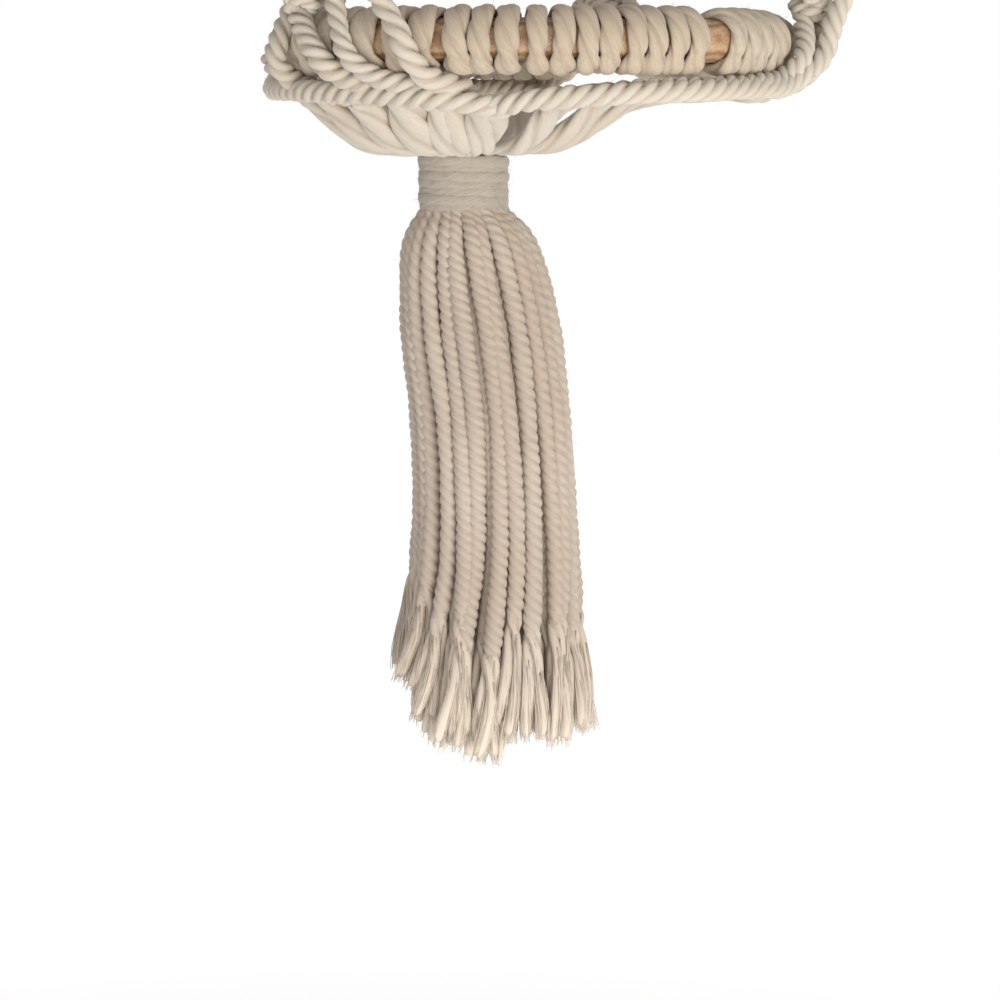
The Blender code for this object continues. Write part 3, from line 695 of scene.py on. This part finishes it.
def brush(tufts, path, heading, frame_at_end, thick, tip, hairs, tint, azimuth):
    """The end of a strand: its plies untwist, spread and end in fibres."""
    normal, beside, twist = frame_at_end
    back = 5.0 * MM
    start = path[-1] - heading * back
    length = (start[2] - (LOOP_TOP - tip)) / max(0.5, -heading[2])
    flare = np.array([math.cos(azimuth), math.sin(azimuth), 0.0]) * draw.uniform(0.2, 1.1) * MM
    lean = draw.normal(size=3) * 0.7 * MM
    turned_back = TURN * back / LAY

    def middle(t):
        eased = np.clip(t, 0.0, None) ** 2
        return start + heading * (length * t)[..., None] + (flare + lean) * eased[..., None]

    def around(angle):
        return normal * np.cos(angle)[..., None] + beside * np.sin(angle)[..., None]

    def opened(first, t):
        """The angle of a ply, whose twist dies away along the brush."""
        run = length * t
        return first + turned_back - TURN * run / LAY * np.exp(-2.4 * t) - 0.5 * t

    t_ply = np.linspace(0.0, 1.0, 11)
    for ply in range(3):
        first = twist + TURN * ply / 3
        open_to = draw.uniform(0.85, 1.35)
        end_share = draw.uniform(0.91, 0.98)
        t = t_ply * end_share
        spread = thick * (0.50 + (open_to - 0.50) * t**1.6)
        wander = draw.uniform(-0.5, 0.5)
        centre = middle(t) + around(opened(first, t) + wander * t) * spread[:, None]
        ply_path = spline(centre, 1.2 * MM)
        fall = np.linspace(0.0, 1.0, len(ply_path))
        radius = thick * np.interp(fall, *PLY_SHAPE)
        cord(tufts, ply_path, radius, lay=30.0 * MM, sides=14, groove=0.16, plies=7, tint=tint)
        count = hairs // 3
        t = np.linspace(0.0, 1.0, 5)[None, :]
        begin = draw.uniform(0.05, 0.55, (count, 1))
        finish = np.minimum(1.02, end_share + 0.06 - np.abs(draw.normal(0.0, 0.035, (count, 1))))
        along = begin + (finish - begin) * t
        spread = thick * (0.50 + (open_to - 0.50) * along**1.6)
        centre = middle(along) + around(opened(first, along) + wander * along) * spread[..., None]
        wisp = draw.integers(0, 7, (count, 1))
        angle = wisp * TURN / 7 + draw.uniform(-0.35, 0.35, (count, 1)) - 0.8 * t
        skin = np.interp(along / end_share, *PLY_SHAPE) * draw.uniform(0.80, 1.02, (count, 1))
        off = thick * (skin + 0.22 * along**2 * draw.uniform(0.0, 1.2, (count, 1)))
        paths = centre + around(angle) * off[..., None]
        paths += draw.normal(size=(count, 1, 3)) * 0.22 * MM * (t**2)[..., None]
        hair_tint = np.clip(draw.normal(tint, 0.2, count), 0.0, 1.0)
        tufts.fibres(paths, draw.uniform(0.09, 0.16, count) * MM, hair_tint)


TASSEL_LAYERS = (
    # strands, share of the tassel's radius, thickness, sides, first azimuth, hairs
    (26, 1.0, 1.66, 12, 10.0, 69),
    (26, 0.81, 1.5, 9, 16.9, 26),
    (4, 0.42, 1.7, 8, 0.0, 18),
)


def tassel(cords, tufts):
    """The layers of strands, from the outside in."""
    for count, share, thick, sides, first, hairs in TASSEL_LAYERS:
        for number in range(count):
            azimuth = math.radians(first + 360.0 * number / count) + draw.normal() * 0.025
            lift = draw.uniform(0.0, 2.6) * MM
            tassel_strand(cords, tufts, azimuth, share, thick * MM, sides, lift, hairs)


def loop(weave):
    """Eight cords side by side over the hook, drawn together under the top binding."""
    middle = 14.8 * MM
    side = [
        (0.25 * middle, TOP_WRAP_TOP + 12.0 * MM),
        (0.30 * middle, TOP_WRAP_TOP + 2.0 * MM),
        (0.36 * middle, TOP_WRAP_TOP - 5.0 * MM),
        (0.66 * middle, TOP_WRAP_TOP - 14.0 * MM),
        (0.97 * middle, 23.2 * MM),
        (0.90 * middle, 14.4 * MM),
        (0.50 * middle, 6.4 * MM),
    ]
    right = [np.array([x, 0.0, LOOP_TOP - depth]) for x, depth in side]
    left = [point * np.array([-1.0, 1.0, 1.0]) for point in reversed(right)]
    route = right + [np.array([0.0, 0.0, LOOP_TOP - 4.8 * MM])] + left
    path = spline(route, 1.1 * MM)
    along = directions(path)
    normals = np.cross(along, [0.0, 1.0, 0.0])
    beside = np.cross(along, normals)
    height = path[:, 2] - (LOOP_TOP - TOP_WRAP_TOP)
    spread = np.clip(2.0 * MM + np.maximum(0.0, height) * 0.085, 0.0, 3.15 * MM)
    share = np.linspace(0.0, 1.0, len(path))
    for strand in range(8):
        angle = TURN * strand / 7 + 1.3 * math.pi * share
        reach = spread if strand < 7 else spread * 0.0
        shifted = (
            path
            + normals * (np.cos(angle) * reach)[:, None]
            + beside * (np.sin(angle) * reach)[:, None]
        )
        cord(weave, shifted, CORD * 0.5, lay=7.2 * MM)


def arm_cords(weave, arm):
    """Four cords of an arm, held by a long sinnet and by the knot at the pot's rim."""
    for top, bottom, count in (SINNET, RIM):
        knot(weave, arm_point(arm, top), arm_point(arm, bottom), count)
    places = ((-1, 0), (0, -1), (0, 1), (1, 0))
    for number, (column, row) in enumerate(places):
        side = (number - 1.5) * 2.3 * MM
        spread = (number - 1.5) * 3.6 * MM
        upper = [
            arm_point(arm, TOP_WRAP_BOTTOM - 6.0 * MM, column * 1.7 * MM, row * 1.7 * MM),
            arm_point(arm, TOP_WRAP_BOTTOM + 1.0 * MM, column * 1.8 * MM, row * 1.8 * MM),
            arm_point(arm, TOP_WRAP_BOTTOM + 22.0 * MM, column * 2.4 * MM, row * 2.4 * MM),
            arm_point(arm, 125.0 * MM, spread * 0.9, row * 1.2 * MM),
            arm_point(arm, SINNET[0] - 8.0 * MM, side * 1.3),
            arm_point(arm, SINNET[0] + 4.0 * MM, side),
        ]
        cord(weave, spline(upper, 1.2 * MM), CORD / 2, lay=ARM_LAY)
        lower = [
            arm_point(arm, SINNET[1] - 4.0 * MM, side),
            arm_point(arm, SINNET[1] + 10.0 * MM, side * 1.4),
            arm_point(arm, 312.0 * MM, spread, row * 0.8 * MM),
            arm_point(arm, 380.0 * MM, spread * 0.95, row * 0.5 * MM),
            arm_point(arm, RIM[0] - 12.0 * MM, side * 1.4),
            arm_point(arm, RIM[0] + 4.0 * MM, side),
        ]
        cord(weave, spline(lower, 1.2 * MM), CORD / 2, lay=ARM_LAY)


def net_cords(weave, arm):
    """The cords that leave two neighbouring arms, meet in a knot and part again to their feet."""
    following = (arm + 1) % len(ARMS)
    first, second = arm_azimuth(arm, MIDDLE[0]), arm_azimuth(following, MIDDLE[0])
    azimuth = (first + second + (360.0 if second < first else 0.0)) / 2
    wide, narrow = (at_depth(NET_PROFILE, depth) for depth in MIDDLE[:2])
    knot(weave, place(wide, azimuth, MIDDLE[0]), place(narrow, azimuth, MIDDLE[1]), MIDDLE[2])
    inside = 4.0 * MM
    for owner, sign in ((arm, 1), (following, -1)):
        for outer in (0, 1):
            away = sign * (1.9 + outer * 3.2) * MM
            at_knot = -sign * (1.3 + (1 - outer) * 2.2) * MM
            top = arm_point(owner, RIM[1] - 2.0 * MM, away * 0.8)
            knot_top = place(wide, azimuth, MIDDLE[0] + inside, at_knot)
            lifted = (top + knot_top) / 2
            lifted[:2] *= 1.0 + 5.0 * MM / np.linalg.norm(lifted[:2])
            route = [
                top,
                arm_point(owner, RIM[1] + 8.0 * MM, away * 1.15, 0.6 * MM),
                lifted,
                place(wide, azimuth, MIDDLE[0] - 6.0 * MM, at_knot * 1.5),
                knot_top,
            ]
            cord(weave, spline(route, 1.0 * MM), CORD / 2, lay=NET_LAY)
            foot_top = ARMS[owner][4] * MM - BASE_KNOT_LENGTH
            knot_end = place(narrow, azimuth, MIDDLE[1] - inside, at_knot)
            end = foot_point(owner, foot_top + 2.0 * MM, away * 0.8)
            lifted = (knot_end + end) / 2
            lifted[:2] *= 1.0 + 6.0 * MM / np.linalg.norm(lifted[:2])
            route = [
                knot_end,
                place(narrow, azimuth, MIDDLE[1] + 6.0 * MM, at_knot * 1.5),
                lifted,
                foot_point(owner, foot_top - 8.0 * MM, away * 1.15),
                end,
            ]
            cord(weave, spline(route, 1.0 * MM), CORD / 2, lay=NET_LAY)


FLOOR_Z = -1.08
FLOOR_RADIUS = 2.6
CAMERA_PLACE = (-0.00573, -0.448, LOOP_TOP - 0.62816)
CAMERA_TILT = math.radians(90.0 - 8.92)
CAMERA_LENS = 90.14


class Shader:
    """A material's nodes, made one after another."""

    def __init__(self, name):
        self.material = bpy.data.materials.new(name)
        self.material.use_nodes = True
        self.nodes = self.material.node_tree.nodes
        self.links = self.material.node_tree.links
        self.surface = self.nodes["Principled BSDF"]

    def node(self, kind, inputs=(), **settings):
        made = self.nodes.new(kind)
        for key, value in settings.items():
            setattr(made, key, value)
        for key, value in dict(inputs).items():
            if isinstance(value, bpy.types.NodeSocket):
                self.links.new(value, made.inputs[key])
            else:
                made.inputs[key].default_value = value
        return made

    def attribute(self, name):
        return self.node("ShaderNodeAttribute", attribute_name=name)

    def noise(self, vector, scale, detail=3.0, roughness=0.55):
        inputs = {"Vector": vector, "Scale": scale, "Detail": detail, "Roughness": roughness}
        return self.node("ShaderNodeTexNoise", inputs).outputs["Fac"]

    def stretched(self, vector, scale):
        return self.node("ShaderNodeMapping", {"Vector": vector, "Scale": scale}).outputs["Vector"]

    def ramp(self, factor, stops):
        made = self.node("ShaderNodeValToRGB", {"Fac": factor})
        elements = made.color_ramp.elements
        while len(elements) < len(stops):
            elements.new(0.5)
        for element, (place_at, colour) in zip(elements, stops):
            element.position = place_at
            element.color = (*colour, 1.0)
        return made.outputs["Color"]

    def mix(self, factor, first, second, blend="MIX"):
        made = self.node("ShaderNodeMix", data_type="RGBA", blend_type=blend)
        for socket, value in zip((made.inputs[0], made.inputs[6], made.inputs[7]), (factor, first, second)):
            if isinstance(value, bpy.types.NodeSocket):
                self.links.new(value, socket)
            elif isinstance(value, tuple):
                socket.default_value = (*value, 1.0)
            else:
                socket.default_value = value
        return made.outputs[2]

    def math(self, operation, first, second):
        return self.node(
            "ShaderNodeMath", {0: first, 1: second}, operation=operation
        ).outputs["Value"]


def cotton(name, pale, warm, deep, streaks=0.5, tips=None):
    """Soft cotton: fibres along the plies, painted shade in the grooves between plies, each cord a little
    its own.

    With tips, the colour grows towards theirs over the tassel's open ends."""
    made = Shader(name)
    lay = made.attribute("lay").outputs["Vector"]
    crest = made.attribute("crest").outputs["Fac"]
    tint = made.attribute("tint").outputs["Fac"]
    place_at = made.node("ShaderNodeTexCoord").outputs["Object"]
    fine = made.noise(made.stretched(lay, (5.5, 5.5, 0.55)), 1.0, 3.0, 0.6)
    coarse = made.noise(made.stretched(lay, (1.8, 1.8, 0.22)), 1.0, 2.0, 0.5)
    blotch = made.noise(place_at, 85.0, 2.0, 0.5)
    cloud = made.noise(place_at, 24.0, 1.0, 0.5)
    base = made.ramp(tint, ((0.0, warm), (0.55, pale), (1.0, pale)))
    streak = made.ramp(fine, ((0.30, deep), (0.62, pale)))
    colour = made.mix(streaks, base, streak)
    colour = made.mix(made.ramp(blotch, ((0.42, (0.0,) * 3), (0.72, (0.55,) * 3))), colour, warm)
    colour = made.mix(made.ramp(cloud, ((0.45, (0.0,) * 3), (0.75, (0.35,) * 3))), colour, deep)
    # Painted shade: the grooves between plies and the capped ends are darkened towards the deep colour.
    groove = made.ramp(crest, ((0.0, (0.62,) * 3), (0.45, (0.0,) * 3)))
    colour = made.mix(groove, colour, deep)
    if tips:
        height = made.node("ShaderNodeSeparateXYZ", {0: place_at}).outputs["Z"]
        opening, ending = (LOOP_TOP - depth for depth in BRUSH_DEPTHS)
        span = {"Value": height, "From Min": opening, "From Max": ending}
        share = made.node("ShaderNodeMapRange", span).outputs["Result"]
        colour = made.mix(share, colour, tips)
    made.links.new(colour, made.surface.inputs["Base Color"])
    made.surface.inputs["Roughness"].default_value = 0.93
    made.surface.inputs["Specular IOR Level"].default_value = 0.18
    made.surface.inputs["Sheen Weight"].default_value = 0.22
    made.surface.inputs["Sheen Roughness"].default_value = 0.6
    height = made.math("ADD", fine, made.math("MULTIPLY", coarse, 1.4))
    bump = made.node(
        "ShaderNodeBump", {"Height": height, "Strength": 0.55, "Distance": 0.16 * MM}
    )
    made.links.new(bump.outputs["Normal"], made.surface.inputs["Normal"])
    return made.material


def wood():
    """Oiled beech: grain that runs round the ring, with fine pores."""
    made = Shader("oiled_wood")
    place_at = made.node("ShaderNodeTexCoord").outputs["Object"]
    bands = made.node(
        "ShaderNodeTexWave",
        {"Vector": place_at, "Scale": 260.0, "Distortion": 5.0, "Detail": 2.0, "Detail Scale": 0.6},
        wave_type="RINGS",
        rings_direction="Z",
    ).outputs["Fac"]
    pores = made.noise(place_at, 2600.0, 3.0, 0.6)
    grain = ((0.0, (0.32, 0.18, 0.09)), (0.45, (0.48, 0.30, 0.17)), (1.0, (0.58, 0.40, 0.24)))
    colour = made.ramp(bands, grain)
    colour = made.mix(made.ramp(pores, ((0.35, (0.5,) * 3), (0.6, (0.0,) * 3))), colour, (0.2, 0.09, 0.04))
    made.links.new(colour, made.surface.inputs["Base Color"])
    made.surface.inputs["Roughness"].default_value = 0.42
    bump = made.node(
        "ShaderNodeBump", {"Height": pores, "Strength": 0.25, "Distance": 0.08 * MM}
    )
    made.links.new(bump.outputs["Normal"], made.surface.inputs["Normal"])
    return made.material


def area_light(name, position, aim, size, energy, colour):
    """A soft light that the camera doesn't see, turned towards a point."""
    data = bpy.data.lights.new(name, "AREA")
    data.energy = energy
    data.size = size
    data.color = colour
    made = bpy.data.objects.new(name, data)
    bpy.context.scene.collection.objects.link(made)
    made.location = position
    from_to = np.array(aim) - np.array(position)
    flat_run = math.hypot(from_to[0], from_to[1])
    made.rotation_euler = (
        math.atan2(flat_run, -from_to[2]),
        0.0,
        math.atan2(-from_to[0], from_to[1]),
    )
    made.visible_camera = False
    return made


def stage():
    """A round floor that glows, dimmer under the hanger, a white surround and soft lights, the strongest
    from low in front.
    """
    bpy.ops.mesh.primitive_circle_add(
        vertices=128, radius=FLOOR_RADIUS, fill_type="NGON", location=(0.0, 0.0, FLOOR_Z)
    )
    floor = bpy.context.active_object
    floor.name = "studio_floor"
    made = Shader("glowing_floor")
    made.surface.inputs["Base Color"].default_value = (0.30, 0.30, 0.30, 1.0)
    made.surface.inputs["Roughness"].default_value = 0.9
    made.surface.inputs["Emission Color"].default_value = (1.0, 1.0, 0.995, 1.0)
    place_at = made.node("ShaderNodeTexCoord").outputs["Object"]
    distance = made.node("ShaderNodeVectorMath", {0: place_at}, operation="LENGTH").outputs["Value"]
    # The floor glows though it is no lamp: painted light that also lights the hanger from below. It is
    # dimmer near the middle, a painted shadow under the hanger, and brighter towards the rim.
    glow = made.node(
        "ShaderNodeMapRange",
        {"Value": distance, "From Min": 0.3, "From Max": 1.0, "To Min": 0.42, "To Max": 0.90},
    )
    made.links.new(glow.outputs["Result"], made.surface.inputs["Emission Strength"])
    floor.data.materials.append(made.material)
    world = bpy.data.worlds.new("studio")
    bpy.context.scene.world = world
    world.use_nodes = True
    nodes, links = world.node_tree.nodes, world.node_tree.links
    seen = nodes.new("ShaderNodeLightPath")
    strength = nodes.new("ShaderNodeMath")
    strength.operation = "MULTIPLY_ADD"
    links.new(seen.outputs["Is Camera Ray"], strength.inputs[0])
    strength.inputs[1].default_value = 0.55
    strength.inputs[2].default_value = 0.45
    nodes["Background"].inputs["Color"].default_value = (1.0, 1.0, 1.0, 1.0)
    links.new(strength.outputs[0], nodes["Background"].inputs["Strength"])
    low = (GATHER_X, 0.0, RING_Z)
    area_light("key_low", (0.22, -0.50, -0.78), low, 0.30, 2.2, (1.0, 0.98, 0.95))
    area_light("fill_front", (-0.30, -0.75, -0.70), low, 0.5, 1.1, (0.98, 0.98, 1.0))
    area_light("rim_back", (0.4, 0.7, -0.35), low, 0.6, 3.0, (1.0, 1.0, 1.0))


def camera():
    """In front of the hanger, 11 mm below the ring's middle, and tilted down towards the tassel."""
    data = bpy.data.cameras.new("camera")
    data.sensor_width = 36.0
    data.lens = CAMERA_LENS
    data.clip_start = 0.01
    made = bpy.data.objects.new("camera", data)
    bpy.context.scene.collection.objects.link(made)
    made.location = CAMERA_PLACE
    made.rotation_euler = (CAMERA_TILT, 0.0, 0.0)
    bpy.context.scene.camera = made


def main():
    """Builds every piece, the stage and the camera."""
    strand_cotton = cotton(
        "strand_cotton", (0.64, 0.59, 0.495), (0.58, 0.495, 0.40), (0.40, 0.30, 0.22), 0.30
    )
    winding_cotton = cotton(
        "winding_cotton", (0.58, 0.51, 0.39), (0.50, 0.395, 0.29), (0.31, 0.22, 0.155), 0.45
    )
    binding_cotton = cotton(
        "binding_cotton", (0.45, 0.405, 0.34), (0.395, 0.335, 0.275), (0.27, 0.215, 0.165), 0.45
    )
    tassel_cotton = cotton(
        "tassel_cotton", (0.57, 0.49, 0.41), (0.52, 0.42, 0.335), (0.36, 0.27, 0.20), 0.32
    )
    tuft_cotton = cotton(
        "tuft_cotton", (0.58, 0.50, 0.42), (0.55, 0.45, 0.355), (0.44, 0.345, 0.265), 0.35,
        (0.80, 0.70, 0.58),
    )

    piece = Weave()
    loop(piece)
    piece.piece("loop_cords", ["hanging_loop"], "cotton_cord", strand_cotton)
    piece = Weave()
    coil(
        piece, 0.0, TOP_WRAP_RADIUS, TOP_WRAP_TOP, TOP_WRAP_BOTTOM, TOP_WRAP_TURNS, 1.62 * MM,
        (0.86, 1.0), 9.0 * MM,
    )
    piece.piece("top_binding", ["top_wrap"], "cotton_winding", binding_cotton)
    for arm, row in enumerate(ARMS):
        piece = Weave()
        arm_cords(piece, arm)
        piece.piece(row[0] + "_arm_cords", ["arm_" + row[0]], "cotton_cord", strand_cotton)
    for arm, row in enumerate(ARMS):
        node = "net_" + row[0] + "_" + ARMS[(arm + 1) % len(ARMS)][0]
        piece = Weave()
        net_cords(piece, arm)
        piece.piece(node + "_cords", [node], "cotton_cord", strand_cotton)
    wooden_ring(wood())
    for name, turns in WINDINGS.items():
        piece = Weave()
        behind = "back" in name
        winding(piece, turns, (0.72 if behind else 0.5) * MM)
        fuzz(piece, STRAY["winding_behind" if behind else "winding"], 1.3)
        piece.piece(name + "_cord", [name], "cotton_winding", winding_cotton)
    piece = Weave()
    cradle(piece)
    fuzz(piece, STRAY["cradle"])
    piece.piece("cradle_cords", ["cradle"], "cotton_strands", strand_cotton)
    piece = Weave()
    coil(
        piece, GATHER_X, GATHER_RADIUS - 0.6 * MM, GATHER_TOP - 0.7 * MM, GATHER_BOTTOM, GATHER_TURNS,
        0.95 * MM, (0.6, 1.2), 14.0 * MM,
    )
    fuzz(piece, STRAY["gather"], 1.2)
    piece.piece("gather_binding", ["gather_wrap"], "cotton_winding", binding_cotton)
    cords, tufts = Weave(), Weave()
    tassel(cords, tufts)
    fuzz(cords, STRAY["tassel"])
    cords.piece("tassel_cords", ["tassel"], "cotton_strands", tassel_cotton)
    tufts.piece("tassel_tufts", ["tassel"], "cotton_strands", tuft_cotton)

    stage()
    camera()
    bpy.context.scene.view_settings.view_transform = "Standard"


main()
